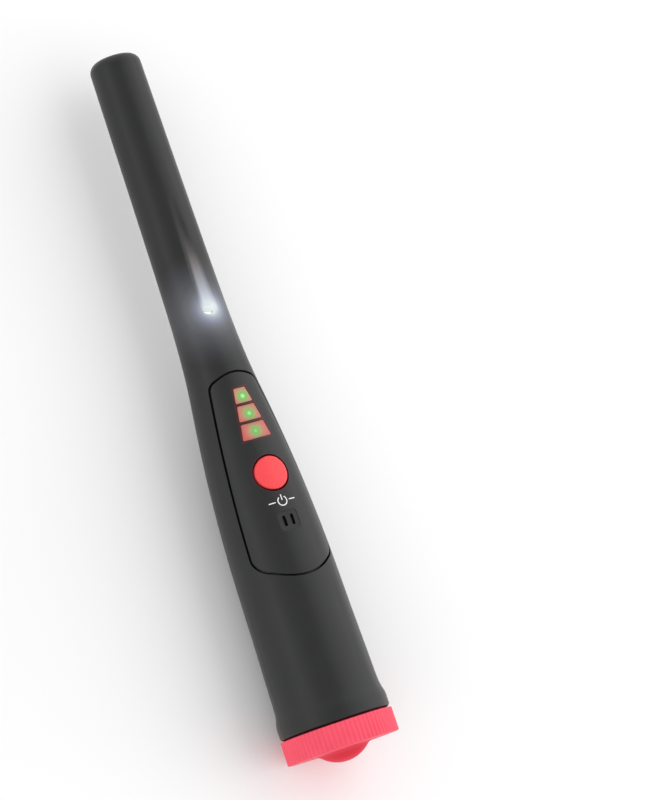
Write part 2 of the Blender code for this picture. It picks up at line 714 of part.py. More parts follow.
def ribbed_outline():
    """The cap's rim: a rib crest every few degrees, one at each quarter."""
    points = []
    share = 2.0 * math.pi / CAP_RIBS
    valley = CAP_RADIUS - RIB_DEPTH
    for rib in range(CAP_RIBS):
        for offset, radius in ((0.0, CAP_RADIUS), (0.32, valley), (0.68, valley)):
            angle = (rib + offset) * share
            points.append((radius * math.cos(angle), radius * math.sin(angle)))
    return points


def cap_envelope_profile():
    """The rim's rounded edges; its crests carry one facet each."""
    edge = CAP_RADIUS + 0.02
    upper = [(0.0, CAP_HEIGHT), (edge - 0.4, CAP_HEIGHT), (edge, CAP_HEIGHT - 0.4)]
    return upper + [(edge, 0.5), (edge - 0.5, 0.0), (0.0, 0.0)]


def fin():
    """The half-round grip that stands out of the cap's end."""
    center = FIN_RADIUS - FIN_REACH
    reach = math.degrees(math.acos((center - 0.6) / FIN_RADIUS))
    curve = arc((0.0, center), FIN_RADIUS, -90.0 - reach, -90.0 + reach, 18)
    obj = plate("cap_fin", curve, FIN_THICKNESS)
    bevel = obj.modifiers.new("soft edges", "BEVEL")
    bevel.width = 0.8 * MM
    bevel.segments = 2
    bevel.limit_method = "ANGLE"
    bevel.angle_limit = math.radians(50.0)
    return as_cutter(place(obj, (0.0, 0.0, 0.0), (90.0, 0.0, -FIN_TURN)))


def main():
    clear_scene()
    add_collection("pinpointer_probe")
    cutters = add_collection("cutters")
    cutters.hide_render = True
    add_frame()
    add_housing()
    add_panel()
    add_signal_windows()
    add_signal_leds()
    add_power_button()
    add_board()
    add_sounder()
    add_vibration_motor()
    add_torch()
    add_search_coil()
    add_battery()
    add_battery_cap()


main()
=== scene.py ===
# Pinpointer probe, lying on its side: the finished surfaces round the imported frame
import json
import math
import bmesh
import bpy
from mathutils import Matrix, Vector


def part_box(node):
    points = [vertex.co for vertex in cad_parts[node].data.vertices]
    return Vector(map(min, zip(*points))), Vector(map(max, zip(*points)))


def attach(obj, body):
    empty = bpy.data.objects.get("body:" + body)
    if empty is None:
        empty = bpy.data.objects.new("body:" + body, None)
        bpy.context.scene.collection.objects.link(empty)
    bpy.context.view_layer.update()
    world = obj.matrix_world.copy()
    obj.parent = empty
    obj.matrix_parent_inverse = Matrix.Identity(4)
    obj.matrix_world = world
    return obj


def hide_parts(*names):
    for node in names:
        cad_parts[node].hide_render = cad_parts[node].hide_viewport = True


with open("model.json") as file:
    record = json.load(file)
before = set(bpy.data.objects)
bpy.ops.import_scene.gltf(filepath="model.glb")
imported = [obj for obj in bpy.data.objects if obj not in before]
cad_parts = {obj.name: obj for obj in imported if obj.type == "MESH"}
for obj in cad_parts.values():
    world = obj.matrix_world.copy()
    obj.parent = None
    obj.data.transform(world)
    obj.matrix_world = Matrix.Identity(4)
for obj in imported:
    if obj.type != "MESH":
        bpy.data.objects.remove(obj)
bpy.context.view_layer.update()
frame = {"nodes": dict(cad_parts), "record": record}
mm = 0.001

# the probe's own axes: x across the panel, y out of its face, z up from the cap's end face
probe = {
    "length": 241.6,          # cap's end face to the tip
    "capRadius": 19.0,
    "stations": ((17.4, 17.72), (43.0, 17.08), (64.0, 16.66), (80.0, 15.95), (95.6, 14.83), (111.5, 13.2),
                 (127.5, 11.28), (138.0, 10.44), (152.0, 9.85), (181.0, 9.38), (238.2, 8.75)),
}
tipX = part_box("housing")[1].x
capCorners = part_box("battery_cap")
axisZ = (capCorners[0].z + capCorners[1].z) / 2
endX = tipX - probe["length"] * mm
layDown = Matrix(((0, 0, 1, endX), (1, 0, 0, 0), (0, 1, 0, axisZ), (0, 0, 0, 1)))
scaled = layDown @ Matrix.Scale(mm, 4)        # from the probe's millimetres to the row frame


def inRow(x, y, z):
    return scaled @ Vector((x, y, z))


def inProbe(point):
    return scaled.inverted() @ Vector(point)


def slopeAt(index):
    before = probe["stations"][max(index - 1, 0)]
    after = probe["stations"][min(index + 1, len(probe["stations"]) - 1)]
    return (after[1] - before[1]) / (after[0] - before[0])


def bodyRadius(height):
    # smooth curve through the housing's stations
    stations = probe["stations"]
    height = min(max(height, stations[0][0]), stations[-1][0])
    index = max(i for i in range(len(stations) - 1) if stations[i][0] <= height)
    (lowH, lowR), (highH, highR) = stations[index], stations[index + 1]
    span = highH - lowH
    t = (height - lowH) / span
    start, end = slopeAt(index) * span, slopeAt(index + 1) * span
    return ((2 * t**3 - 3 * t**2 + 1) * lowR + (t**3 - 2 * t**2 + t) * start
            + (3 * t**2 - 2 * t**3) * highR + (t**3 - t**2) * end)


def faceY(x, height):
    # how far out of the axis the housing's face is, seen straight on to the panel
    return math.sqrt(max(bodyRadius(height)**2 - x * x, 0.01))


def arc(cx, cy, radius, start, end, steps):
    angles = [math.radians(start + (end - start) * i / steps) for i in range(steps + 1)]
    return [(cx + radius * math.cos(a), cy + radius * math.sin(a)) for a in angles]


def smoothStep(low, high, value):
    t = min(max((value - low) / (high - low), 0.0), 1.0)
    return t * t * (3 - 2 * t)


def evenly(low, high, gap):
    count = max(1, round((high - low) / gap))
    return [low + (high - low) * i / count for i in range(count + 1)]


def turnRound(bm, verts, angle, axis):
    # angle in degrees, about an axis through the origin
    bmesh.ops.rotate(bm, cent=(0, 0, 0), matrix=Matrix.Rotation(math.radians(angle), 3, axis), verts=verts)


def spinProfile(bm, points, steps, angle=360.0, closed=False, startAngle=0.0):
    # turns (radius, height) points round z and closes the seam
    verts = [bm.verts.new((r, 0, h)) for r, h in points]
    edges = [bm.edges.new(pair) for pair in zip(verts, verts[1:])]
    if closed:
        edges.append(bm.edges.new((verts[-1], verts[0])))
    turnRound(bm, verts, startAngle, "Z")
    full = angle > 359.9
    bmesh.ops.spin(bm, geom=verts + edges, axis=(0, 0, 1), cent=(0, 0, 0), angle=math.radians(angle),
                   steps=steps, use_merge=full, use_duplicate=False)
    bmesh.ops.remove_doubles(bm, verts=bm.verts, dist=0.0005)


def growRing(bm, ring, edges):
    # extrudes a loop of edges; the new points come back in the order of the old ones
    made = bmesh.ops.extrude_edge_only(bm, edges=edges)["geom"]
    new = {v for v in made if isinstance(v, bmesh.types.BMVert)}
    edges = [e for e in made if isinstance(e, bmesh.types.BMEdge) and new.issuperset(e.verts)]
    above = {e.other_vert(v): v for v in new for e in v.link_edges if e.other_vert(v) not in new}
    return [above[v] for v in ring], edges


def tidyNormals(bm):
    bmesh.ops.remove_doubles(bm, verts=bm.verts, dist=0.0002)
    bmesh.ops.recalc_face_normals(bm, faces=bm.faces)


def makeObject(name, bm, smoothAngle=32.0, toRow=True):
    if toRow:
        bmesh.ops.transform(bm, matrix=scaled, verts=bm.verts)
    mesh = bpy.data.meshes.new(name)
    bm.to_mesh(mesh)
    bm.free()
    mesh.shade_smooth()
    mesh.set_sharp_from_angle(angle=math.radians(smoothAngle))
    obj = bpy.data.objects.new(name, mesh)
    bpy.context.scene.collection.objects.link(obj)
    return obj


def applyModifiers(obj, smoothAngle=32.0):
    # the object keeps only its final mesh
    bpy.context.view_layer.update()
    graph = bpy.context.evaluated_depsgraph_get()
    mesh = bpy.data.meshes.new_from_object(obj.evaluated_get(graph))
    obj.modifiers.clear()
    old = obj.data
    obj.data = mesh
    mesh.name = obj.name
    bpy.data.meshes.remove(old)
    mesh.shade_smooth()
    mesh.set_sharp_from_angle(angle=math.radians(smoothAngle))


def carve(obj, cutters, operation="DIFFERENCE", smoothAngle=32.0):
    # one Boolean against all the tools at once, kept as the object's own mesh; the tools are thrown away
    tray = bpy.data.collections.new("tray")
    bpy.context.scene.collection.children.link(tray)
    for cutter in cutters:
        tray.objects.link(cutter)
    modifier = obj.modifiers.new("carve", "BOOLEAN")
    modifier.operation = operation
    modifier.solver = "EXACT"
    if len(cutters) == 1:
        modifier.object = cutters[0]
    else:
        modifier.operand_type = "COLLECTION"
        modifier.collection = tray
    applyModifiers(obj, smoothAngle)
    for cutter in cutters:
        bpy.data.objects.remove(cutter)
    bpy.data.collections.remove(tray)


def prismFromOutline(name, outline, low, high):
    # an outline seen from the panel's front, thick from y = low to y = high
    bm = bmesh.new()
    verts = [bm.verts.new((x, low, h)) for x, h in outline]
    face = bm.faces.new(verts)
    out = bmesh.ops.extrude_face_region(bm, geom=[face])
    moved = [v for v in out["geom"] if isinstance(v, bmesh.types.BMVert)]
    bmesh.ops.translate(bm, vec=(0, high - low, 0), verts=moved)
    tidyNormals(bm)
    return makeObject(name, bm)


def weighNormals(obj):
    # big faces keep their direction beside the small rounded lips
    modifier = obj.modifiers.new("even shading", "WEIGHTED_NORMAL")
    modifier.keep_sharp = True
    modifier.weight = 60


seam = {
    "top": 127.2, "bottom": 56.6,
    "topCorner": (5.2, 122.3, 3.6), "bottomCorner": (7.5, 66.0, 6.75),
    "sideBow": 0.9,
    "halfGap": 0.27,        # half of the dark gap, measured along the face
    "lip": 0.34,            # rounded edge each side of the gap
    "depth": 1.0,
}


def seamCurve():
    # closed centre line of the seam as (x, height), panel's right side first
    tx, tz, tr = seam["topCorner"]
    bx, bz, br = seam["bottomCorner"]
    top = arc(tx, tz, tr, 76, 6, 12)
    low = arc(bx, bz, br, 2, -66, 18)
    half = []
    for i in range(8):
        t = i / 8
        half.append((top[0][0] * t, seam["top"] + (top[0][1] - seam["top"]) * t * t))
    half += top
    for i in range(1, 40):
        t = i / 40
        bow = 4 * seam["sideBow"] * t * (1 - t)
        half.append((top[-1][0] * (1 - t) + low[0][0] * t + bow, top[-1][1] * (1 - t) + low[0][1] * t))
    half += low
    for i in range(11, 0, -1):
        t = i / 12
        half.append((low[-1][0] * t, seam["bottom"] + (low[-1][1] - seam["bottom"]) * t * t))
    half.append((0.0, seam["bottom"]))
    return half + [(-x, h) for x, h in reversed(half[1:-1])]


def outlineFrames(line):
    # point on the face, outward face normal and across-the-seam direction at each point of the line
    frames = []
    count = len(line)
    for i, (x, h) in enumerate(line):
        here = Vector((x, faceY(x, h), h))
        ahead = line[(i + 1) % count]
        behind = line[i - 1]
        along = Vector((ahead[0], faceY(*ahead), ahead[1])) - Vector((behind[0], faceY(*behind), behind[1]))
        taper = bodyRadius(h + 0.5) - bodyRadius(h - 0.5)
        normal = Vector((here.x, here.y, -taper * bodyRadius(h))).normalized()
        along = (along - normal * along.dot(normal)).normalized()
        frames.append((here, normal, normal.cross(along)))
    return frames


def offsetOutline(line, gap):
    # the line moved outwards by gap, measured along the curved face
    moved = []
    count = len(line)
    for i, (x, h) in enumerate(line):
        ahead = line[(i + 1) % count]
        behind = line[i - 1]
        across = Vector((-(ahead[1] - behind[1]), ahead[0] - behind[0])).normalized()
        lean = faceY(x, h) / bodyRadius(h)
        share = lean * abs(across.x) + abs(across.y)
        moved.append((x + across.x * gap * share, h + across.y * gap * share))
    return moved


def seamGroove():
    # a trumpet-shaped channel swept round the seam, so that both edges come out rounded
    w, lip, depth = seam["halfGap"], seam["lip"], seam["depth"]
    right = [(w, -depth)] + arc(w + lip, -lip, lip, 180, 90, 5) + [(w + lip + 0.12, 0.5)]
    section = right + [(-s, n) for s, n in reversed(right)]
    frames = outlineFrames(seamCurve())
    bm = bmesh.new()
    here, normal, across = frames[0]
    ring = [bm.verts.new(here + across * s + normal * n) for s, n in section]
    firstEdges = [bm.edges.new((ring[i], ring[(i + 1) % len(ring)])) for i in range(len(ring))]
    edges = firstEdges
    for here, normal, across in frames[1:]:
        ring, edges = growRing(bm, ring, edges)
        for v, (s, n) in zip(ring, section):
            v.co = here + across * s + normal * n
    bmesh.ops.bridge_loops(bm, edges=edges + firstEdges)
    tidyNormals(bm)
    return makeObject("seamCutter", bm)


housingShape = {
    "tipFlat": 5.4, "tipRoundFrom": 238.2,
    "steps": 192,
    "coarse": 1.5, "fine": 0.5, "panelGap": 0.9,        # ring spacing along the body
    "collarTop": 18.6, "panelLow": 54, "panelHigh": 130,        # where the spacing changes
    "bore": 15.45, "boreTop": 55.0, "tipBore": 6.9, "tipBoreTop": 239.0, "wall": 3.6,
    "threadBore": 17.0, "threadTop": 15.0, "sealBore": 17.45, "sealTop": 9.8, "mouth": 8.3,
    "pocketFloor": 2.3, "ledge": 2.6, "pocketLow": 50.0, "pocketHigh": 134.0,
    "cutIn": 3.0, "cutOut": 20.0,        # how deep and how far out the tools of the pocket reach
    "threadCrest": 16.3, "threadBase": 11.65,
    # collar: a soft flare and a short land as (height, radius), then a round edge at the mouth
    "flare": ((17.5, 17.76), (16.6, 17.85), (15.8, 17.99), (15.1, 18.15), (14.4, 18.34), (13.8, 18.49),
              (13.2, 18.6), (12.6, 18.67), (12.0, 18.7), (11.2, 18.7), (10.4, 18.7)),
    "mouthRound": 1.2,
}
scoop = {
    "radius": 2.6, "low": 149.0, "high": 186.0,
    "lowAxis": 10.35, "highAxis": 12.05,
    "edge": 0.26,           # softness of the scoop's edge
    "wallFrom": 147.3,      # the short slope behind the lens
    "fineFrom": 146.3, "fineTo": 189.0,        # stretch of the housing with close rings
}
torch = {"height": 150.4, "out": 8.7, "tilt": 40.0, "hole": 1.8, "holeTop": 3.0, "holeEnd": -6.5}


def torchPoint(along):
    tilt = math.radians(torch["tilt"])
    return Vector((0, torch["out"] + along * math.sin(tilt), torch["height"] + along * math.cos(tilt)))


def scoopDepth(x, height):
    if not scoop["fineFrom"] < height < scoop["fineTo"]:
        return 0.0
    t = (height - scoop["low"]) / (scoop["high"] - scoop["low"])
    axisY = scoop["lowAxis"] + (scoop["highAxis"] - scoop["lowAxis"]) * t
    r = scoop["radius"]
    floor = axisY - math.sqrt(max(r * r - x * x, 0.0)) + max(abs(x) - r, 0.0) * 2
    depth = faceY(x, height) - floor
    wall = smoothStep(scoop["wallFrom"], scoop["low"] + 0.5, height)
    soft = scoop["edge"]
    return wall * soft * math.log1p(math.exp(min(depth / soft, 30.0)))


def housingProfile():
    s = housingShape
    roundWidth = bodyRadius(s["tipRoundFrom"]) - s["tipFlat"]
    rise = probe["length"] - s["tipRoundFrom"]
    points = [(s["tipFlat"] * i / 3, probe["length"]) for i in range(3)]
    for i in range(17):
        a = math.pi / 2 * (1 - i / 16)
        points.append((s["tipFlat"] + roundWidth * math.cos(a), s["tipRoundFrom"] + rise * math.sin(a)))
    stretches = (
        (scoop["fineTo"], s["tipRoundFrom"], s["coarse"]),
        (scoop["fineFrom"], scoop["fineTo"], s["fine"]),
        (s["panelHigh"], scoop["fineFrom"], s["coarse"]),
        (s["panelLow"], s["panelHigh"], s["panelGap"]),
        (s["collarTop"], s["panelLow"], s["coarse"]),
    )
    for low, high, gap in stretches:
        points += [(bodyRadius(h), h) for h in evenly(low, high, gap)[:-1][::-1]]
    points += [(r, h) for h, r in s["flare"]]
    corner = s["mouthRound"]
    points += arc(s["flare"][-1][1] - corner, s["mouth"] + corner, corner, 0, -90, 8)
    points += [(s["sealBore"], s["mouth"]), (s["sealBore"], s["sealTop"]), (s["threadBore"], s["sealTop"]),
               (s["threadBore"], s["threadTop"]), (s["bore"], s["threadTop"] + 1.2),
               (s["bore"], s["boreTop"])]
    points += [(max(bodyRadius(h) - s["wall"], s["tipBore"]), h) for h in evenly(s["boreTop"], 145.0, 5.0)]
    points += [(s["tipBore"], s["tipBoreTop"] - 1.5), (s["tipBore"] - 1.5, s["tipBoreTop"]),
               (0.0, s["tipBoreTop"])]
    return points


def threadRidge(name, root, crest, base, turns, steps):
    # helical ridge: a trapezoid carried up and round the axis
    pitch = 2.5
    foot = 0.5         # half-widths of the ridge, at its root and its crest
    top = 0.25
    bm = bmesh.new()
    section = [(root, base - foot), (crest, base - top), (crest, base + top), (root, base + foot)]
    verts = [bm.verts.new((r, 0, h)) for r, h in section]
    face = bm.faces.new(verts)
    count = round(steps * turns)
    bmesh.ops.spin(bm, geom=[face] + list(face.edges) + verts, axis=(0, 0, 1), cent=(0, 0, 0),
                   dvec=(0, 0, pitch * turns / count), angle=2 * math.pi * turns, steps=count,
                   use_duplicate=False)
    tidyNormals(bm)
    return makeObject(name, bm)


def rod(radius, low, high):
    # profile of a plain round rod, closed at both ends
    return [(0, high), (radius, high), (radius, low), (0, low)]


def turnedTool(name, points, steps, tilt, at):
    # a turned cutter or piece standing on its own axis, leaned back about x, moved to a place on the probe
    bm = bmesh.new()
    spinProfile(bm, points, steps)
    tidyNormals(bm)
    turnRound(bm, bm.verts, -tilt, "X")
    bmesh.ops.translate(bm, vec=at, verts=bm.verts)
    return makeObject(name, bm)


def buildHousing():
    s = housingShape
    bm = bmesh.new()
    spinProfile(bm, housingProfile(), s["steps"], startAngle=90.0)
    tidyNormals(bm)
    for v in bm.verts:
        x, y, h = v.co
        if y > 0 and abs(x) < 5 and math.hypot(x, y) > bodyRadius(h) - 0.2:
            v.co.y -= scoopDepth(x, h)
    housing = makeObject("probeHousing", bm)
    line = seamCurve()
    pocket = prismFromOutline("pocketCutter", offsetOutline(line, seam["halfGap"]), s["cutIn"], s["cutOut"])
    bm = bmesh.new()
    heights = evenly(s["pocketLow"], s["pocketHigh"], 2.0)
    core = [(bodyRadius(h) - s["pocketFloor"], h) for h in reversed(heights)]
    spinProfile(bm, [(0.0, s["pocketHigh"])] + core + [(0.0, s["pocketLow"])], 96)
    tidyNormals(bm)
    coreTool = makeObject("pocketCore", bm)
    carve(pocket, [coreTool])
    opening = prismFromOutline("openingCutter", offsetOutline(line, -s["ledge"]), s["cutIn"], s["cutOut"])
    groove = seamGroove()
    hole = turnedTool("torchHole", rod(torch["hole"], torch["holeEnd"], torch["holeTop"]), 40,
                      torch["tilt"], torchPoint(0))
    carve(housing, [pocket, opening, groove, hole])
    thread = threadRidge("mouthThread", s["threadBore"] + 0.3, s["threadCrest"], s["threadBase"], 1.0, 96)
    carve(housing, [thread], "UNION")
    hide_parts("housing")
    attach(housing, "probe_body")
    return housing


panelShape = {
    "thick": 1.4, "low": 52.0, "high": 132.0, "ringGap": 0.9, "spread": 156.0, "steps": 150,
    "buttonHole": 6.15, "buttonLip": 0.3,
    "slotSize": (1.1, 3.6), "slotSpacing": 2.8,
    "recess": (7.2, 6.6), "recessRound": 1.5, "recessDepth": 0.15,
    "outlineIn": 3.5, "slotIn": 11.0, "windowIn": 7.0, "cutOut": 19.0,        # reach of the cutting tools
    "mouthWide": 1.2, "mouthTop": 4.0, "holeEnd": -6.0,
}
windows = {
    "heights": ((116.15, 121.5), (109.95, 115.4), (103.6, 109.2)),
    "topHalf": 2.3, "flare": 0.166, "from": 121.0,
    "gap": 0.1, "round": 0.4, "proud": 0.05,
}
buttonAt = inProbe((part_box("power_button")[0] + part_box("power_button")[1]) / 2)
slotAt = inProbe((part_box("sound_mesh")[0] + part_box("sound_mesh")[1]) / 2)


def windowOutline(low, high, grow):
    # a trapezoid that widens towards the cap, with round corners
    top = windows["topHalf"] + (windows["from"] - high) * windows["flare"] + grow
    bottom = windows["topHalf"] + (windows["from"] - low) * windows["flare"] + grow
    r = windows["round"]
    corners = ((top - r, high + grow - r, 0), (-top + r, high + grow - r, 90),
               (-bottom + r, low - grow + r, 180), (bottom - r, low - grow + r, 270))
    points = []
    for x, h, start in corners:
        points += arc(x, h, r, start, start + 90, 5)
    return points


def roundedBox(name, width, height, corner, x, h, low, high):
    points = []
    for sx, sh, start in ((1, 1, 0), (-1, 1, 90), (-1, -1, 180), (1, -1, 270)):
        points += arc(x + sx * (width / 2 - corner), h + sh * (height / 2 - corner), corner,
                      start, start + 90, 6)
    return prismFromOutline(name, points, low, high)


def faceShell(name, outer, inner, low, high, spread, steps, gap):
    # a patch that follows the housing's face between two offsets from it
    bm = bmesh.new()
    heights = evenly(low, high, gap)
    ring = [(bodyRadius(h) + outer, h) for h in reversed(heights)]
    ring += [(bodyRadius(h) + inner, h) for h in evenly(low, high, gap * 3)]
    spinProfile(bm, ring, steps, spread, True, 90.0 - spread / 2)
    ends = [e for e in bm.edges if len(e.link_faces) == 1]
    bmesh.ops.holes_fill(bm, edges=ends)
    bmesh.ops.triangulate(bm, faces=[f for f in bm.faces if len(f.verts) > 4])
    tidyNormals(bm)
    return makeObject(name, bm)


def buildPanel():
    s = panelShape
    cover = faceShell("controlCover", 0.0, -s["thick"], s["low"], s["high"], s["spread"], s["steps"],
                      s["ringGap"])
    outline = prismFromOutline("coverOutline", offsetOutline(seamCurve(), -seam["halfGap"]),
                               s["outlineIn"], s["cutOut"])
    carve(cover, [outline], "INTERSECT")
    groove = seamGroove()
    lip = s["buttonLip"]
    top = faceY(0, buttonAt.z)
    hole = s["buttonHole"]
    # a hole with a rounded mouth: the flare is set low enough to round the mouth all the way round
    mouth = [(0, s["mouthTop"]), (hole + s["mouthWide"], s["mouthTop"]), (hole + lip, lip)]
    mouth += arc(hole + lip, -lip, lip, 90, 180, 5)[1:]
    mouth += [(hole, s["holeEnd"]), (0, s["holeEnd"])]
    buttonCutter = turnedTool("buttonCutter", mouth, 96, 90.0, (0, 0, 0))
    for v in buttonCutter.data.vertices:
        p = inProbe(v.co)
        drop = faceY(p.x, buttonAt.z + p.z) - top if abs(p.z) < 12 else 0.0
        v.co = inRow(p.x, p.y + top + drop, p.z + buttonAt.z)
    recess = roundedBox("recessCutter", s["recess"][0], s["recess"][1], s["recessRound"], 0, slotAt.z,
                        0, 4)
    for v in recess.data.vertices:
        p = inProbe(v.co)
        lift = faceY(p.x, p.z) - s["recessDepth"] if p.y < 2 else s["cutOut"]
        v.co = inRow(p.x, lift, p.z)
    slots = [roundedBox(f"slotCutter{i}", s["slotSize"][0], s["slotSize"][1], 0.4,
                        side * s["slotSpacing"] / 2, slotAt.z, s["slotIn"], s["cutOut"])
             for i, side in enumerate((-1, 1))]
    panes = [prismFromOutline(f"windowCutter{i}", windowOutline(low, high, 0.0), s["windowIn"], s["cutOut"])
             for i, (low, high) in enumerate(windows["heights"])]
    carve(cover, [groove, buttonCutter, recess] + slots + panes)
    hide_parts("control_panel")
    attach(cover, "probe_body")
    return cover


def buildWindows():
    made = []
    for number, (low, high) in enumerate(windows["heights"], 1):
        bm = bmesh.new()
        outline = windowOutline(low, high, -windows["gap"])
        verts = [bm.verts.new((x, 0, h)) for x, h in outline]
        face = bm.faces.new(verts)
        # rings towards the middle give the crowned pane its curve
        for inset in (0.18, 0.3, 0.5, 0.6):
            bmesh.ops.inset_region(bm, faces=[face], thickness=inset)
        bmesh.ops.triangulate(bm, faces=[face])
        rim = [e for e in bm.edges if len(e.link_faces) == 1]
        skirt, skirtEdges = growRing(bm, verts, rim)
        bmesh.ops.holes_fill(bm, edges=skirtEdges)
        for v in bm.verts:
            x, _, h = v.co
            top = faceY(x, h)
            if v in skirt:
                v.co.y = top - panelShape["thick"]
            elif v in verts:
                v.co.y = top - 0.12        # the pane's edge is eased below the cover
            else:
                v.co.y = top + windows["proud"]
        tidyNormals(bm)
        pane = makeObject(f"signalPane{number}", bm, 50.0)
        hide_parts(f"signal_window_{number}")
        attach(pane, "probe_body")
        made.append(pane)
    return made


button = {
    "radius": 5.65, "proud": 0.6, "rim": 0.75, "crown": 0.12,
    "flange": (6.8, 10.4, 0.8), "stem": (1.6, 8.9),
}


def buildButton():
    s = button
    top = faceY(0, buttonAt.z) + s["proud"]
    points = [(0, top + s["crown"])]
    for r in (1.0, 2.0, 3.0, 4.0, 4.6):
        points.append((r, top + s["crown"] * (1 - (r / (s["radius"] - s["rim"]))**2)))
    points += arc(s["radius"] - s["rim"], top - s["rim"], s["rim"], 90, 0, 8)
    points += [(s["radius"], h) for h in (top - 1.6, top - 2.6, 12.2, 11.5)]
    flangeR, flangeLow, flangeThick = s["flange"]
    stemR, stemLow = s["stem"]
    points += [(s["radius"], flangeLow + flangeThick), (flangeR, flangeLow + flangeThick),
               (flangeR, flangeLow), (stemR, flangeLow), (stemR, stemLow), (0, stemLow)]
    bm = bmesh.new()
    spinProfile(bm, points, 96)
    tidyNormals(bm)
    flat = faceY(0, buttonAt.z)
    for v in bm.verts:
        x, along, out = v.co          # turned round z here, and z becomes the way out of the panel
        h = buttonAt.z + along
        share = smoothStep(11.6, top - s["rim"], out)
        v.co = Vector((x, out + share * (faceY(x, h) - flat), h))
    bm.normal_update()          # the turn leaves old normals, which the next line would go by
    bmesh.ops.recalc_face_normals(bm, faces=bm.faces)
    key = makeObject("powerKey", bm, 40.0)
    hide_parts("power_button")
    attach(key, "button")
    return key


mark = {
    "height": 81.4, "radius": 1.55, "line": 0.34, "gapAngle": 34.0,
    "dash": 2.3, "dashAt": 3.6, "ink": 0.03,
}


def buildMark():
    # printed power sign with a short bar each side, laid on the curved face
    bm = bmesh.new()
    s = mark
    gap, r, w = s["gapAngle"], s["radius"], s["line"] / 2
    ring = arc(0, 0, r + w, 90 + gap, 450 - gap, 40)
    inner = arc(0, 0, r - w, 90 + gap, 450 - gap, 40)
    pairs = [[ring[i], ring[i + 1], inner[i + 1], inner[i]] for i in range(40)]
    bars = [[(-w, 0.25), (w, 0.25), (w, 2.15), (-w, 2.15)]]
    for side in (-1, 1):
        for i in range(4):
            a = side * s["dashAt"] - s["dash"] / 2 + s["dash"] * i / 4
            b = a + s["dash"] / 4
            bars.append([(a, -w), (b, -w), (b, w), (a, w)])
    for quad in pairs + bars:
        bm.faces.new([bm.verts.new((x, 0, h + s["height"])) for x, h in quad])
    bmesh.ops.remove_doubles(bm, verts=bm.verts, dist=0.001)
    bmesh.ops.subdivide_edges(bm, edges=bm.edges, cuts=1, use_grid_fill=True)
    out = bmesh.ops.extrude_face_region(bm, geom=bm.faces[:])
    raised = {v for v in out["geom"] if isinstance(v, bmesh.types.BMVert)}
    for v in bm.verts:
        lift = s["ink"] if v in raised else -s["ink"]
        v.co.y = faceY(v.co.x, v.co.z) + lift
    tidyNormals(bm)
    ink = makeObject("powerMark", bm, 40.0)
    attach(ink, "probe_body")
    return ink


def buildTorchLens():
    points = [(0, 1.15), (0.5, 1.1), (0.95, 0.97), (1.3, 0.75)] + arc(1.35, 0.6, 0.15, 45, 0, 3)
    points += [(1.5, 0.0), (1.2, 0.0), (0, 0.0)]
    lens = turnedTool("torchWindow", points, 48, torch["tilt"], torchPoint(-1.1))
    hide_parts("torch_lens")
    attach(lens, "probe_body")
    return lens


cap = {
    "ribs": 76, "ribDepth": 0.36, "ribsFrom": 17.6, "height": 8.0, "floor": 2.5,
    "plug": 16.0, "plugInner": 15.25, "plugTop": 13.9,
    "ridge": 16.7, "ridgeBase": 10.4, "ridgeTurns": 0.9,
    "edge": 0.45, "topEdge": 0.35,
    "finReach": 4.2, "finRadius": 11.4, "finThick": 4.4, "finTurn": 22.0,
}


def buildCap():
    s = cap
    rim = probe["capRadius"]
    perRib = 8
    points = [(0, 0.0)] + [(r, 0.0) for r in (2, 4, 6, 8, 10, 12, 14, 16, 17.2)]
    points += arc(rim - s["edge"], s["edge"], s["edge"], -90, 0, 6)
    points += [(rim, h) for h in (0.6, 1.2, 2.4, 3.6, 4.8, 6.0, 7.0, 7.5)]
    points += arc(rim - s["topEdge"], s["height"] - s["topEdge"], s["topEdge"], 0, 90, 4)
    points += [(17.2, s["height"]), (s["plug"], s["height"]), (s["plug"], 9.0),
               (s["plug"], s["plugTop"] - 0.4), (s["plug"] - 0.3, s["plugTop"]),
               (s["plugInner"], s["plugTop"]), (s["plugInner"], s["floor"] + 0.5),
               (s["plugInner"] - 0.5, s["floor"]), (0, s["floor"])]
    bm = bmesh.new()
    spinProfile(bm, points, s["ribs"] * perRib)
    tidyNormals(bm)
    for v in bm.verts:
        r = math.hypot(v.co.x, v.co.y)
        if r < s["ribsFrom"]:
            continue
        angle = math.atan2(v.co.y, v.co.x)
        wave = 0.5 - 0.5 * math.cos(angle * s["ribs"])        # 0 on a crest, 1 in a valley
        fade = smoothStep(0.05, 0.5, v.co.z) * (1 - smoothStep(7.6, 7.95, v.co.z))
        deep = s["ribDepth"] * wave**1.6 * fade
        v.co.x *= (r - deep) / r
        v.co.y *= (r - deep) / r
    body = makeObject("screwCap", bm, 50.0)
    fin = buildFin()
    thread = threadRidge("capThread", s["plug"] - 0.3, s["ridge"], s["ridgeBase"], s["ridgeTurns"], 96)
    carve(body, [fin, thread], "UNION", 50.0)
    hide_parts("battery_cap")
    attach(body, "screw_cap")
    return body


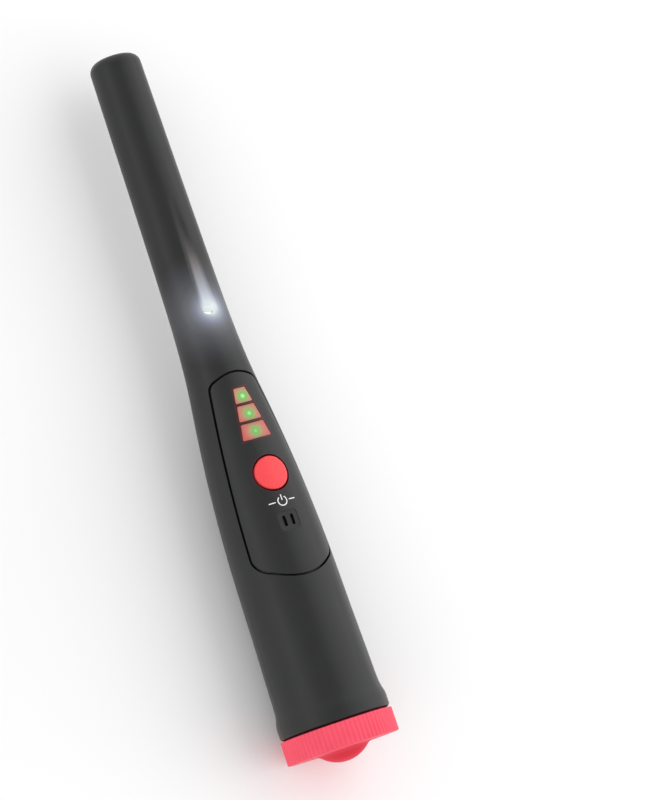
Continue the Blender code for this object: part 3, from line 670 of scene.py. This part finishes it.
def buildFin():
    # stacked sections of a half-round grip, flared where it meets the end face
    s = cap
    centre = s["finRadius"] - s["finReach"]
    sides = 48
    bm = bmesh.new()
    ring = []
    edges = []
    levels = [0.6, 0.0, -0.12, -0.3, -0.55, -0.9, -1.4, -2.0, -2.6, -3.1, -3.5, -3.8, -4.0, -4.12, -4.18]
    for level in levels:
        reach = -level
        halfLength = math.sqrt(max(s["finRadius"]**2 - (centre + min(max(reach, 0.0), 4.19))**2, 0.04))
        flare = 1.6 * (1 - smoothStep(-0.1, 1.0, reach))**2
        crown = math.sqrt(max(1 - (max(reach - 3.0, 0) / 1.25)**2, 0.02))
        halfThick = s["finThick"] / 2 * crown + flare
        halfLength += flare
        if not ring:
            made = bmesh.ops.create_circle(bm, segments=sides, radius=1.0)
            ring = made["verts"]
            edges = list({e for v in ring for e in v.link_edges})
            angles = [math.atan2(v.co.y, v.co.x) for v in ring]
        else:
            ring, edges = growRing(bm, ring, edges)
        for v, a in zip(ring, angles):
            # a squared-off oval section
            c = math.cos(a)
            d = math.sin(a)
            v.co = (math.copysign(abs(c)**0.8, c) * halfLength,
                    math.copysign(abs(d)**0.6, d) * halfThick, level)
    bmesh.ops.holes_fill(bm, edges=[e for e in bm.edges if len(e.link_faces) == 1])
    turnRound(bm, bm.verts, -s["finTurn"], "Z")
    tidyNormals(bm)
    return makeObject("capFin", bm)


def buildSealRing():
    bm = bmesh.new()
    spinProfile(bm, arc(16.8, 8.95, 0.5, 0, -345, 23), 96, closed=True)
    tidyNormals(bm)
    ring = makeObject("mouthSealRing", bm, 60.0)
    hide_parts("cap_o_ring")
    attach(ring, "cap_carrier")
    return ring


def fromHex(value):
    # sRGB hex to linear RGBA
    parts = [int(value[i:i + 2], 16) / 255 for i in (1, 3, 5)]
    linear = [c / 12.92 if c <= 0.04045 else ((c + 0.055) / 1.055)**2.4 for c in parts]
    return (*linear, 1.0)


def inLinear(stops):
    return [(at, fromHex(value)) for at, value in stops]


def newMaterial(name):
    material = bpy.data.materials.new(name)
    material.use_nodes = True
    return material, material.node_tree.nodes["Principled BSDF"]


def addNode(material, kind, settings=None, links=None):
    # settings by attribute or socket name, links by socket name or number
    node = material.node_tree.nodes.new(kind)
    for key, value in (settings or {}).items():
        if isinstance(key, str) and hasattr(node, key):
            setattr(node, key, value)
        else:
            node.inputs[key].default_value = value
    for key, source in (links or {}).items():
        material.node_tree.links.new(source, node.inputs[key])
    return node


def setRamp(node, stops):
    ramp = node.color_ramp
    while len(ramp.elements) < len(stops):
        ramp.elements.new(0.5)
    for element, (position, color) in zip(ramp.elements, stops):
        element.position = position
        element.color = color if len(color) == 4 else (*color, 1.0)


def grainOf(material, place, size, detail=3.0, stretch=(1, 1, 1)):
    # noise whose grains measure size millimetres; stretch lengthens them along the row axes
    mapping = addNode(material, "ShaderNodeMapping", {"Scale": [1 / value for value in stretch]},
                      {"Vector": place.outputs["Object"]})
    return addNode(material, "ShaderNodeTexNoise",
                   {"Scale": 1 / (size * mm), "Detail": detail, "Roughness": 0.55},
                   {"Vector": mapping.outputs["Vector"]})


def mouldedPlastic(name, look):
    # injection-moulded plastic: an even colour with faint cloudiness, a spark-eroded grain pressed in by
    # the tool, and a few lengthwise rub marks that change its gloss
    material, shader = newMaterial(name)
    place = addNode(material, "ShaderNodeTexCoord")
    cloud = grainOf(material, place, look["cloud"], 4.0)
    tone = addNode(material, "ShaderNodeValToRGB", None, {"Fac": cloud.outputs["Fac"]})
    setRamp(tone, ((0.3, fromHex(look["dark"])), (0.7, fromHex(look["light"]))))
    rubs = grainOf(material, place, look["rub"], 3.0, (14, 1, 1))
    gloss = addNode(material, "ShaderNodeMapRange", {"From Min": 0.35, "From Max": 0.75,
                    "To Min": look["roughness"] - 0.03, "To Max": look["roughness"] + 0.05},
                    {"Value": rubs.outputs["Fac"]})
    grain = grainOf(material, place, look["grain"], 2.0)
    relief = addNode(material, "ShaderNodeBump",
                     {"Strength": look["bump"], "Distance": look["grain"] * mm * 0.3},
                     {"Height": grain.outputs["Fac"]})
    material.node_tree.links.new(tone.outputs["Color"], shader.inputs["Base Color"])
    material.node_tree.links.new(gloss.outputs["Result"], shader.inputs["Roughness"])
    material.node_tree.links.new(relief.outputs["Normal"], shader.inputs["Normal"])
    shader.inputs["IOR"].default_value = look.get("ior", 1.5)
    return material, shader, place, tone


def glowRound(material, place, centre, stops, reach):
    # colour by distance from a lamp's centre, out to reach millimetres
    away = addNode(material, "ShaderNodeVectorMath", {"operation": "DISTANCE", 1: centre},
                   {0: place.outputs["Object"]})
    ramp = addNode(material, "ShaderNodeValToRGB", None,
                   {"Fac": addNode(material, "ShaderNodeMapRange", {"From Min": 0.0, "From Max": reach * mm},
                                   {"Value": away.outputs["Value"]}).outputs["Result"]})
    setRamp(ramp, stops)
    return ramp


# painted light on the housing: a halo round the torch lens and a pale streak up the scoop
paintedTorchSpill = {
    "centre": (-0.6, 9.9, 149.7), "reach": 20.0,
    "round": ((0.0, "#e7f1ed"), (0.1, "#d5dddf"), (0.145, "#afb6be"), (0.2, "#9499a8"), (0.25, "#7e8294"),
              (0.31, "#6c7079"), (0.38, "#5c5d63"), (0.5, "#46474c"), (0.7, "#2f2f34"), (0.85, "#1a1a1d"),
              (1.0, "#000000")),
    "beamLow": 150.0, "beamHigh": 180.0, "beamWide": 2.3, "beamNarrow": 1.3, "beamMiddle": -0.7,
    "beam": ((0.0, "#c8ced6"), (0.12, "#b4bac6"), (0.22, "#9fa4b0"), (0.34, "#8c8e92"), (0.5, "#726d6d"),
             (0.66, "#4c4848"), (0.84, "#262424"), (1.0, "#000000")),
}


def makeShellMaterial():
    # satin black plastic off a fine spark-eroded tool, with soft broad highlights; the cold light the lit
    # torch spills round its lens, and a pale streak up the scoop, are painted into the housing as its own
    # glow
    material, shader, place, _ = mouldedPlastic("satinBlackPlastic", {
        "dark": "#0e0f0f", "light": "#121313", "roughness": 0.4,
        "cloud": 9.0, "rub": 1.6, "grain": 0.35, "bump": 0.16, "ior": 1.47})
    s = paintedTorchSpill
    # painted glow round the lens, brightest at its centre
    halo = glowRound(material, place, inRow(*s["centre"]), inLinear(s["round"]), s["reach"])
    axes = addNode(material, "ShaderNodeSeparateXYZ", None, {"Vector": place.outputs["Object"]})
    low = inRow(0, 0, s["beamLow"]).x
    high = inRow(0, 0, s["beamHigh"]).x
    along = addNode(material, "ShaderNodeMapRange", {"From Min": low, "From Max": high},
                    {"Value": axes.outputs["X"]})
    width = addNode(material, "ShaderNodeMapRange", {"From Min": low, "From Max": high,
                    "To Min": s["beamWide"] * mm, "To Max": s["beamNarrow"] * mm},
                    {"Value": axes.outputs["X"]})
    fromBeam = addNode(material, "ShaderNodeMath", {"operation": "SUBTRACT", 1: s["beamMiddle"] * mm},
                       {0: axes.outputs["Y"]})
    side = addNode(material, "ShaderNodeMath", {"operation": "ABSOLUTE"}, {0: fromBeam.outputs["Value"]})
    share = addNode(material, "ShaderNodeMath", {"operation": "DIVIDE"},
                    {0: side.outputs["Value"], 1: width.outputs["Result"]})
    across = addNode(material, "ShaderNodeMapRange", {"interpolation_type": "SMOOTHSTEP", "From Min": 0.25,
                     "From Max": 1.35, "To Min": 1.0, "To Max": 0.0}, {"Value": share.outputs["Value"]})
    above = addNode(material, "ShaderNodeMapRange", {"From Min": axisZ + 3 * mm, "From Max": axisZ + 6 * mm},
                    {"Value": axes.outputs["Z"]})
    start = addNode(material, "ShaderNodeMapRange", {"From Min": low - 2 * mm, "From Max": low + 1 * mm},
                    {"Value": axes.outputs["X"]})
    mask = addNode(material, "ShaderNodeMath", {"operation": "MULTIPLY"},
                   {0: across.outputs["Result"], 1: above.outputs["Result"]})
    mask = addNode(material, "ShaderNodeMath", {"operation": "MULTIPLY"},
                   {0: mask.outputs["Value"], 1: start.outputs["Result"]})
    streak = addNode(material, "ShaderNodeValToRGB", None, {"Fac": along.outputs["Result"]})
    setRamp(streak, inLinear(s["beam"]))
    lit = addNode(material, "ShaderNodeMix", {"data_type": "RGBA", "blend_type": "SCREEN"},
                  {"Factor": mask.outputs["Value"], 6: halo.outputs["Color"], 7: streak.outputs["Color"]})
    # painted light: the halo and the streak are the housing's own emission
    material.node_tree.links.new(lit.outputs[2], shader.inputs["Emission Color"])
    shader.inputs["Emission Strength"].default_value = 1.0
    return material


capLook = {
    "dark": "#ee4860", "light": "#f55067", "roughness": 0.55,
    "cloud": 6.0, "rub": 0.9, "grain": 0.3, "bump": 0.12, "ior": 1.47,
    # painted shade: a darker red over the end face and the grip, fading in from 0.4 mm up the side to full
    # 0.5 mm past the end face
    "paintedShadeColour": "#dc3549", "paintedShadeFrom": 0.4, "paintedShadeTo": -0.5,
}


def makeCapMaterial():
    # coral ABS, satin off the tool; a painted shade darkens it over the end face and the grip
    material, shader, place, tone = mouldedPlastic("coralAbs", capLook)
    axes = addNode(material, "ShaderNodeSeparateXYZ", None, {"Vector": place.outputs["Object"]})
    start, end = (inRow(0, 0, capLook[key]).x for key in ("paintedShadeFrom", "paintedShadeTo"))
    share = addNode(material, "ShaderNodeMapRange", {"From Min": start, "From Max": end},
                    {"Value": axes.outputs["X"]})
    # painted shade: the colour is mixed towards the darker red over the end face and the grip
    shade = addNode(material, "ShaderNodeMix", {"data_type": "RGBA", 7: fromHex(capLook["paintedShadeColour"])},
                    {"Factor": share.outputs["Result"], 6: tone.outputs["Color"]})
    material.node_tree.links.new(shade.outputs[2], shader.inputs["Base Color"])
    return material


# painted red bounce on the cover round the panes and the key
paintedRedBounce = {
    "windowMargin": 0.5, "windowLow": 103.0, "windowHigh": 122.1,
    "keyRadius": 6.9, "colour": "#3a0d12",
}


def makeCoverMaterial():
    # the same satin black, with a painted red bounce: dark red light painted on the edges round the coral
    # panes and the key
    material, shader, place, tone = mouldedPlastic("satinPanelPlastic", {
        "dark": "#0f1010", "light": "#131414", "roughness": 0.38,
        "cloud": 7.0, "rub": 1.2, "grain": 0.3, "bump": 0.12, "ior": 1.47})
    s = paintedRedBounce
    axes = addNode(material, "ShaderNodeSeparateXYZ", None, {"Vector": place.outputs["Object"]})
    side = addNode(material, "ShaderNodeMath", {"operation": "ABSOLUTE"}, {0: axes.outputs["Y"]})
    low = inRow(0, 0, s["windowLow"]).x
    high = inRow(0, 0, s["windowHigh"]).x
    half = windows["topHalf"] + s["windowMargin"]
    width = addNode(material, "ShaderNodeMapRange", {"From Min": low, "From Max": high, "To Max": half * mm,
                    "To Min": (half + (s["windowHigh"] - s["windowLow"]) * windows["flare"]) * mm},
                    {"Value": axes.outputs["X"]})
    inside = addNode(material, "ShaderNodeMath", {"operation": "LESS_THAN"},
                     {0: side.outputs["Value"], 1: width.outputs["Result"]})
    upper = addNode(material, "ShaderNodeMath", {"operation": "LESS_THAN", 1: high}, {0: axes.outputs["X"]})
    lower = addNode(material, "ShaderNodeMath", {"operation": "GREATER_THAN", 1: low},
                    {0: axes.outputs["X"]})
    strip = addNode(material, "ShaderNodeMath", {"operation": "MULTIPLY"},
                    {0: upper.outputs["Value"], 1: lower.outputs["Value"]})
    strip = addNode(material, "ShaderNodeMath", {"operation": "MULTIPLY"},
                    {0: strip.outputs["Value"], 1: inside.outputs["Value"]})
    keyPlace = inRow(0, buttonAt.y, buttonAt.z)
    flat = addNode(material, "ShaderNodeVectorMath", {"operation": "MULTIPLY", 1: (1, 1, 0)},
                   {0: place.outputs["Object"]})
    away = addNode(material, "ShaderNodeVectorMath",
                   {"operation": "DISTANCE", 1: (keyPlace.x, keyPlace.y, 0)}, {0: flat.outputs["Vector"]})
    ring = addNode(material, "ShaderNodeMapRange", {"From Min": (s["keyRadius"] - 0.5) * mm,
                   "From Max": s["keyRadius"] * mm, "To Min": 1.0, "To Max": 0.0},
                   {"Value": away.outputs["Value"]})
    mask = addNode(material, "ShaderNodeMath", {"operation": "MAXIMUM"},
                   {0: strip.outputs["Value"], 1: ring.outputs["Result"]})
    # painted red bounce: the cover's colour is mixed to dark red in the strip round the panes and the ring
    # round the key
    redBounced = addNode(material, "ShaderNodeMix", {"data_type": "RGBA", 7: fromHex(s["colour"])},
                     {"Factor": mask.outputs["Value"], 6: tone.outputs["Color"]})
    material.node_tree.links.new(redBounced.outputs[2], shader.inputs["Base Color"])
    return material


pane = {
    "reach": 4.6,
    # body: the pane's own coral with painted green lamp light over its middle; glow: the painted emission
    "body": ((0.0, "#6fa050"), (0.24, "#6a9c50"), (0.36, "#7ca05a"), (0.46, "#a8965f"), (0.62, "#bd7a60"),
             (0.82, "#c46a5c"), (1.0, "#c65c56")),
    "glow": ((0.0, "#8ed281"), (0.1, "#86cc78"), (0.18, "#5c9a4a"), (0.24, "#3c6530"), (0.36, "#365a2a"),
             (0.46, "#3c3020"), (0.62, "#402a20"), (1.0, "#361410")),
}


def makePaneMaterial(number):
    # coral-tinted polycarbonate pane over a lit lamp: gloss on top, frosted underneath; the lamp's bloom is
    # painted, a green glow painted into the pane's colour and emission round the lamp's place
    material, shader = newMaterial(f"coralPane{number}")
    place = addNode(material, "ShaderNodeTexCoord")
    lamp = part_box(f"signal_led_{number}")
    height = inProbe((lamp[0] + lamp[1]) / 2).z
    centre = inRow(-0.25, faceY(0, height), height)
    frost = grainOf(material, place, 0.5, 2.0)
    # painted light: green over the lamp's place, fading out to the pane's own coral
    coralWithPaintedLamp = glowRound(material, place, centre, inLinear(pane["body"]), pane["reach"])
    base = addNode(material, "ShaderNodeMix",
                   {"data_type": "RGBA", "blend_type": "MULTIPLY", "Factor": 0.25},
                   {6: coralWithPaintedLamp.outputs["Color"], 7: frost.outputs["Fac"]})
    # painted glow: the pane itself emits green round the lamp's place, though it is no lamp
    glow = glowRound(material, place, centre, inLinear(pane["glow"]), pane["reach"])
    material.node_tree.links.new(base.outputs[2], shader.inputs["Base Color"])
    material.node_tree.links.new(glow.outputs["Color"], shader.inputs["Emission Color"])
    shader.inputs["Emission Strength"].default_value = 1.0
    shader.inputs["Roughness"].default_value = 0.25
    shader.inputs["IOR"].default_value = 1.58
    return material


def plainFinish(name, look):
    # small inner parts: their own colour, a fine grain or brush line, and a little unevenness in gloss
    material, shader = newMaterial(name)
    place = addNode(material, "ShaderNodeTexCoord")
    noise = grainOf(material, place, look.get("grain", 0.4), 3.0, look.get("stretch", (1, 1, 1)))
    tone = addNode(material, "ShaderNodeValToRGB", None, {"Fac": noise.outputs["Fac"]})
    setRamp(tone, ((0.3, fromHex(look["dark"])), (0.7, fromHex(look["light"]))))
    gloss = addNode(material, "ShaderNodeMapRange", {"From Min": 0.3, "From Max": 0.7,
                    "To Min": max(look["roughness"] - 0.06, 0.03), "To Max": look["roughness"] + 0.06},
                    {"Value": noise.outputs["Fac"]})
    relief = addNode(material, "ShaderNodeBump", {"Strength": look.get("bump", 0.15),
                     "Distance": look.get("grain", 0.4) * mm * 0.3}, {"Height": noise.outputs["Fac"]})
    material.node_tree.links.new(tone.outputs["Color"], shader.inputs["Base Color"])
    material.node_tree.links.new(gloss.outputs["Result"], shader.inputs["Roughness"])
    material.node_tree.links.new(relief.outputs["Normal"], shader.inputs["Normal"])
    if look.get("metal"):
        shader.inputs["Metallic"].default_value = 1.0
    else:
        shader.inputs["IOR"].default_value = look.get("ior", 1.5)
    if look.get("glow"):
        shader.inputs["Emission Color"].default_value = fromHex(look["glow"])
        shader.inputs["Emission Strength"].default_value = look["glowStrength"]
    return material


# what each small part is made of
finishes = {
    "moulded rubber": {"dark": "#101010", "light": "#191919", "roughness": 0.68, "grain": 0.5, "bump": 0.2},
    "green lamp epoxy": {"dark": "#3fd83a", "light": "#63ee55", "roughness": 0.15, "grain": 1.0,
                         "bump": 0.02, "glow": "#46ff3a", "glowStrength": 0.8},
    "clear lamp epoxy": {"dark": "#dfe6f2", "light": "#f3f7ff", "roughness": 0.12, "grain": 1.0,
                         "bump": 0.02, "glow": "#dfe9ff", "glowStrength": 0.8},
    "cream nylon": {"dark": "#c3bba4", "light": "#d3ccb6", "roughness": 0.5, "grain": 0.4, "ior": 1.53},
    "moulded black epoxy": {"dark": "#141415", "light": "#1f1f21", "roughness": 0.5, "grain": 0.25,
                            "bump": 0.3},
    "green solder mask": {"dark": "#0c4a26", "light": "#115c30", "roughness": 0.3, "grain": 2.5,
                          "ior": 1.55},
    "black carrier ABS": {"dark": "#222324", "light": "#2b2c2e", "roughness": 0.5, "grain": 0.5},
    "zinc plated steel": {"dark": "#9c9da0", "light": "#c3c4c8", "roughness": 0.3, "grain": 0.3,
                          "metal": True},
    "drawn steel can": {"dark": "#a3a3a6", "light": "#bdbdc1", "roughness": 0.28, "grain": 0.2,
                        "stretch": (20, 1, 1), "metal": True},
    "sintered tungsten": {"dark": "#6b6b6e", "light": "#87878b", "roughness": 0.45, "grain": 0.15,
                          "bump": 0.3, "metal": True},
    "grey acoustic weave": {"dark": "#1d1d1e", "light": "#3a3a3c", "roughness": 0.8, "grain": 0.2,
                            "bump": 0.5},
    "blue wire sleeve": {"dark": "#173a8c", "light": "#1f48a6", "roughness": 0.35, "grain": 0.8},
    "red wire sleeve": {"dark": "#a3171a", "light": "#b92023", "roughness": 0.35, "grain": 0.8},
    "black wire sleeve": {"dark": "#141414", "light": "#1c1c1c", "roughness": 0.35, "grain": 0.8},
    "tinned wire": {"dark": "#b9babd", "light": "#d6d7da", "roughness": 0.25, "grain": 0.3, "metal": True},
    "sintered ferrite": {"dark": "#2a2828", "light": "#3a3737", "roughness": 0.6, "grain": 0.3,
                         "bump": 0.35},
    "enamelled copper": {"dark": "#a2522b", "light": "#c46f3c", "roughness": 0.25, "grain": 0.25,
                         "stretch": (1, 30, 30), "bump": 0.5, "metal": True},
    "battery jacket": {"dark": "#3e4148", "light": "#4b4f57", "roughness": 0.32, "grain": 1.5, "ior": 1.5},
    "closed-cell foam": {"dark": "#232325", "light": "#333336", "roughness": 0.9, "grain": 0.6, "bump": 0.8},
}
finishOfSlot = {
    "black_rubber": "moulded rubber",
    "green_led": "green lamp epoxy",
    "white_led": "clear lamp epoxy",
    "cream_plastic": "cream nylon",
    "black_component": "moulded black epoxy",
    "board_green": "green solder mask",
    "carrier_plastic": "black carrier ABS",
    "screw_steel": "zinc plated steel",
    "motor_steel": "drawn steel can",
    "weight_metal": "sintered tungsten",
    "grey_mesh": "grey acoustic weave",
    "blue_wire": "blue wire sleeve",
    "red_wire": "red wire sleeve",
    "black_wire": "black wire sleeve",
    "tinned_wire": "tinned wire",
    "ferrite": "sintered ferrite",
    "copper_wire": "enamelled copper",
    "battery_case": "battery jacket",
    "grey_foam": "closed-cell foam",
}


def dress(obj, material):
    obj.data.materials.clear()
    obj.data.materials.append(material)


def dressInnerParts():
    made = {name: plainFinish(name.replace(" ", "_"), look) for name, look in finishes.items()}
    for part in frame["record"]["subparts"]:
        node = frame["nodes"][part["node"]]
        finish = finishOfSlot.get(part["material_slot"])
        if finish and not node.hide_render:
            dress(node, made[finish])
    return made


studio = {
    "floor": "#f8f8f8",
    "sky": 1.15,        # a tent that is bright low down and dimmer overhead
    "tent": ((0.0, 1.0), (0.5, 0.95), (0.85, 0.68), (1.0, 0.6)),
    "lights": (
        # name, turn about the probe from straight up (towards +Y), distance, size along, size round, watts
        ("broadBox", -44.0, 0.95, 2.0, 1.25, 5.0),
        ("sideStrip", 68.0, 0.9, 1.6, 0.34, 0.7),
    ),
}
view = {
    "place": (-0.1407, 0.42262, 0.92531),
    "aim": (-0.00958, -0.03003, 0.03298),
    "roll": 56.83,
    "lens": 137.92,
}


def buildStage():
    bm = bmesh.new()
    bmesh.ops.create_grid(bm, x_segments=8, y_segments=8, size=3.0)
    floor = makeObject("studioFloor", bm, toRow=False)
    material, shader = newMaterial("paleFloor")
    place = addNode(material, "ShaderNodeTexCoord")
    cloud = grainOf(material, place, 300.0, 2.0)
    tone = addNode(material, "ShaderNodeValToRGB", None, {"Fac": cloud.outputs["Fac"]})
    setRamp(tone, ((0.3, fromHex("#f2f2f2")), (0.7, fromHex(studio["floor"]))))
    material.node_tree.links.new(tone.outputs["Color"], shader.inputs["Base Color"])
    shader.inputs["Roughness"].default_value = 0.9
    shader.inputs["Specular IOR Level"].default_value = 0.1
    dress(floor, material)


def buildLights():
    world = bpy.data.worlds.new("studioWorld")
    bpy.context.scene.world = world
    world.use_nodes = True
    background = world.node_tree.nodes["Background"]
    background.inputs["Strength"].default_value = studio["sky"]
    direction = addNode(world, "ShaderNodeTexCoord")
    axes = addNode(world, "ShaderNodeSeparateXYZ", None, {"Vector": direction.outputs["Generated"]})
    tent = addNode(world, "ShaderNodeValToRGB", None, {"Fac": axes.outputs["Z"]})
    setRamp(tent, [(at, (level, level, level, 1.0)) for at, level in studio["tent"]])
    world.node_tree.links.new(tent.outputs["Color"], background.inputs["Color"])
    for name, turn, distance, along, around, watts in studio["lights"]:
        lamp = bpy.data.lights.new(name, "AREA")
        lamp.shape = "RECTANGLE"
        lamp.size = along
        lamp.size_y = around
        lamp.energy = watts
        obj = bpy.data.objects.new(name, lamp)
        a = math.radians(turn)
        obj.location = (0.05, distance * math.sin(a), distance * math.cos(a) + axisZ)
        back = Vector((0, math.sin(a), math.cos(a)))
        side = Vector((1, 0, 0))
        up = back.cross(side)
        obj.rotation_euler = Matrix((side, up, back)).transposed().to_euler()
        bpy.context.scene.collection.objects.link(obj)


def buildCamera():
    camera = bpy.data.cameras.new("studioCamera")
    camera.lens = view["lens"]
    camera.sensor_width = 36.0
    camera.clip_end = 20.0
    obj = bpy.data.objects.new("studioCamera", camera)
    aim = Vector(view["aim"]) - Vector(view["place"])
    turn = aim.to_track_quat("-Z", "Y").to_matrix().to_4x4()
    roll = Matrix.Rotation(math.radians(view["roll"]), 4, "Z")
    obj.matrix_world = Matrix.Translation(view["place"]) @ turn @ roll
    bpy.context.scene.collection.objects.link(obj)
    bpy.context.scene.camera = obj


buildStage()
buildLights()
buildCamera()
print("stage, lights and camera ready")

housing = buildHousing()
print("housing", len(housing.data.polygons), "faces")
cover = buildPanel()
print("control panel", len(cover.data.polygons), "faces")
panes = buildWindows()
key = buildButton()
ink = buildMark()
lens = buildTorchLens()
print("windows, button, print and torch lens ready")
screwCap = buildCap()
sealRing = buildSealRing()
print("screw cap", len(screwCap.data.polygons), "faces")

dress(housing, makeShellMaterial())
dress(cover, makeCoverMaterial())
for number, glass in enumerate(panes, 1):
    dress(glass, makePaneMaterial(number))
dress(key, mouldedPlastic("coralSilicone", {
    "dark": "#ee4449", "light": "#f4494e", "roughness": 0.5,
    "cloud": 4.0, "rub": 0.8, "grain": 0.3, "bump": 0.1, "ior": 1.42})[0])
dress(screwCap, makeCapMaterial())
dress(ink, plainFinish("white_pad_print", {
    "dark": "#e4e4e4", "light": "#f2f2f2", "roughness": 0.5, "grain": 0.2}))
dress(lens, plainFinish("lit_clear_lens", {
    "dark": "#50565a", "light": "#5c6266", "roughness": 0.12, "grain": 1.0, "bump": 0.02,
    "glow": "#f0faf4", "glowStrength": 0.7}))
inner = dressInnerParts()
dress(sealRing, inner["moulded rubber"])
for obj in (housing, cover):
    weighNormals(obj)
print("materials on", len(bpy.data.materials), "finishes")

bpy.context.scene.view_settings.view_transform = "Standard"
